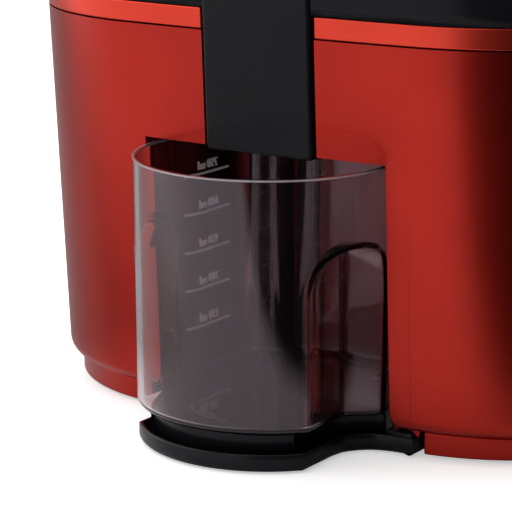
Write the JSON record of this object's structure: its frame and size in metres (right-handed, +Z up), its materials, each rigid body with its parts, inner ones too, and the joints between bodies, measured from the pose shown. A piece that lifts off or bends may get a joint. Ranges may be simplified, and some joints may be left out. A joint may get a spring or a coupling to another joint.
{
  "type": "centrifugal juicer",
  "caption": "Centrifugal juicer: curved red housing with a front recess holding a smoke-clear jug on a drip tray, spinning basket under a lid with feed chute, rear pulp bin",
  "frame": {"origin": "on the table under the middle of the whole machine's box", "axes": "+Z up, the front with the jug faces -Y, +X to the right as seen from the front"},
  "size_m": [0.3012, 0.33, 0.345],
  "materials": {
    "red_shell": "high-gloss metallic red lacquer on moulded plastic",
    "bright_trim": "satin bright red metallic",
    "gloss_black": "glossy black moulded plastic",
    "matte_black": "fine-textured black plastic",
    "smoke_clear": "clear smoke-tinted moulded plastic",
    "soft_rubber": "soft black rubber",
    "bright_steel": "brushed stainless steel",
    "cast_alloy": "die-cast alloy",
    "laminated_steel": "stacked steel laminations",
    "copper": "enamelled copper",
    "brown_resin": "brown moulded resin",
    "carbon": "pressed carbon",
    "green_board": "green circuit board"
  },
  "bodies": {
    "housing": {"housing_shell": "red_shell", "trim_band_left": "bright_trim", "trim_band_right": "bright_trim", "front_column": "gloss_black", "top_deck": "gloss_black", "recess_liner": "gloss_black", "foot_plinth": "red_shell", "base_plate": "matte_black", "rear_shelf": "matte_black", "rubber_feet": "soft_rubber", "housing_screws": "bright_steel", "cord_gland": "soft_rubber", "motor_stator": "laminated_steel", "field_windings": "copper", "upper_bracket": "cast_alloy", "lower_bracket": "cast_alloy", "upper_bearing": "bright_steel", "lower_bearing": "bright_steel", "motor_bolts": "bright_steel", "motor_mounts": "soft_rubber", "brush_holders": "brown_resin", "carbon_brushes": "carbon", "shaft_seal": "soft_rubber", "speed_switch": "brown_resin", "control_board": "green_board", "interlock_switch": "brown_resin", "clamp_pins": "bright_steel", "juice_bowl": "smoke_clear"},
    "rotor": {"motor_shaft": "bright_steel", "armature_core": "laminated_steel", "armature_windings": "copper", "commutator": "copper", "cooling_fan": "matte_black", "drive_coupling": "matte_black", "filter_basket": "bright_steel", "basket_rim": "matte_black", "grater_disc": "bright_steel"},
    "lid": {"lid": "smoke_clear"},
    "pusher": {"food_pusher": "matte_black"},
    "clamp_left": {"clamp_left": "bright_steel"},
    "clamp_right": {"clamp_right": "bright_steel"},
    "knob": {"control_knob": "bright_steel", "knob_spindle": "bright_steel"},
    "jug": {"juice_jug": "smoke_clear"},
    "tray": {"drip_tray": "matte_black"},
    "pulp_bin": {"pulp_container": "smoke_clear"}
  },
  "joints": [
    {"name": "rotor_spin", "type": "hinge", "parent": "housing", "child": "rotor", "pos_m": [0, 0.004, 0.1], "axis": [0, 0, 1], "continuous": true},
    {"name": "clamp_right_swing", "type": "hinge", "parent": "housing", "child": "clamp_right", "pos_m": [0.108, 0.004, 0.207], "axis": [0, 1, 0], "range_deg": [0, 91]},
    {"name": "clamp_left_swing", "type": "hinge", "parent": "housing", "child": "clamp_left", "pos_m": [-0.108, 0.004, 0.207], "axis": [0, -1, 0], "range_deg": [0, 91]},
    {"name": "lid_lift", "type": "slide", "parent": "housing", "child": "lid", "axis": [0, 0, 1], "range_m": [0, 0.0225]},
    {"name": "pusher_lift", "type": "slide", "parent": "lid", "child": "pusher", "axis": [0, 0, 1], "range_m": [0, 0.1]},
    {"name": "knob_turn", "type": "hinge", "parent": "housing", "child": "knob", "pos_m": [0.137, 0.01, 0.1], "axis": [1, 0, 0], "range_deg": [0, 90]},
    {"name": "jug_slide", "type": "slide", "parent": "housing", "child": "jug", "axis": [0, -1, 0], "range_m": [0, 0.14]},
    {"name": "tray_slide", "type": "slide", "parent": "housing", "child": "tray", "axis": [0, -1, 0], "range_m": [0, 0.14]},
    {"name": "pulp_bin_slide", "type": "slide", "parent": "housing", "child": "pulp_bin", "axis": [0, 1, 0], "range_m": [0, 0.09]}
  ],
  "couplings": [
    {"joint": "clamp_left_swing", "follows": "lid_lift", "rad_per_m": 69.8},
    {"joint": "clamp_right_swing", "follows": "lid_lift", "rad_per_m": 69.8}
  ]
}
